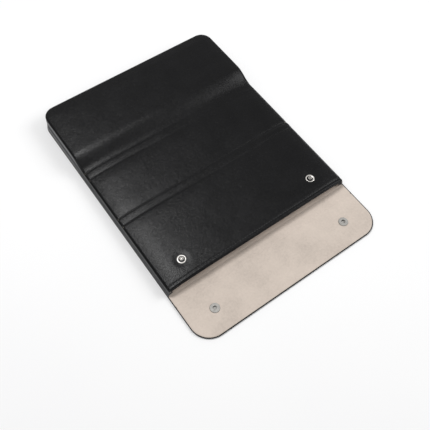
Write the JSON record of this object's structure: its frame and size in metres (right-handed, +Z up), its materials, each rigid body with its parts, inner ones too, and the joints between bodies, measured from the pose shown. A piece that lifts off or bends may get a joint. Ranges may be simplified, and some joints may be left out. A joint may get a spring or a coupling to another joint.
{
  "type": "tablet case",
  "caption": "Slim leather tablet sleeve with a suede lining, stiffened sections joined by fold bands, pleated gussets, and a wrap-over flap with press studs.",
  "frame": {"origin": "centre of the whole case's bounding box, flap opened out, at the surface that the case lies on", "axes": "+X to the right across the width, +Y from the flap's tip towards the closed rear end, +Z up out of the cover"},
  "size_m": [0.232, 0.329, 0.0215],
  "materials": {
    "leather": "black cross-grain leather, semi-matt",
    "gusset_leather": "smooth black leather with a soft sheen",
    "suede": "pale beige suede, napped",
    "board": "grey fibre board, stiffener inside the panels",
    "nickel": "polished nickel plate",
    "spring_wire": "bright spring wire"
  },
  "bodies": {
    "middle": {"back_skin_middle": "leather", "back_board_middle": "board", "back_lining_middle": "suede", "cover_skin_middle": "leather", "cover_board_middle": "board", "cover_lining_middle": "suede", "gusset_middle_left": "gusset_leather", "gusset_middle_right": "gusset_leather", "cover_fold_front": "leather", "cover_fold_rear": "leather", "back_fold_front": "leather", "back_fold_rear": "leather"},
    "front": {"back_skin_front": "leather", "back_board_front": "board", "back_lining_front": "suede", "cover_skin_front": "leather", "cover_board_front": "board", "cover_lining_front": "suede", "gusset_front_left": "gusset_leather", "gusset_front_right": "gusset_leather", "press_studs": "nickel", "stud_rivets": "nickel"},
    "rear": {"back_skin_rear": "leather", "back_board_rear": "board", "back_lining_rear": "suede", "cover_skin_rear": "leather", "cover_board_rear": "board", "cover_lining_rear": "suede", "gusset_rear": "gusset_leather"},
    "spine": {"spine_skin": "leather", "spine_board": "board", "spine_lining": "suede"},
    "flap": {"flap_skin": "leather", "flap_board": "board", "flap_lining": "suede", "snap_sockets": "nickel", "snap_springs": "spring_wire", "snap_caps": "nickel"}
  },
  "joints": [
    {"name": "front_fold", "type": "hinge", "parent": "middle", "child": "front", "pos_m": [0, -0.0085, 0.012], "axis": [-1, 0, 0], "range_deg": [0, 90]},
    {"name": "rear_fold", "type": "hinge", "parent": "middle", "child": "rear", "pos_m": [0, 0.0615, 0.012], "axis": [1, 0, 0], "range_deg": [0, 90]},
    {"name": "spine_fold", "type": "hinge", "parent": "front", "child": "spine", "pos_m": [0, -0.103, 0.0021], "axis": [-1, 0, 0], "range_deg": [0, 90]},
    {"name": "flap_fold", "type": "hinge", "parent": "spine", "child": "flap", "pos_m": [0, -0.116, 0.0021], "axis": [-1, 0, 0], "range_deg": [0, 90]}
  ]
}
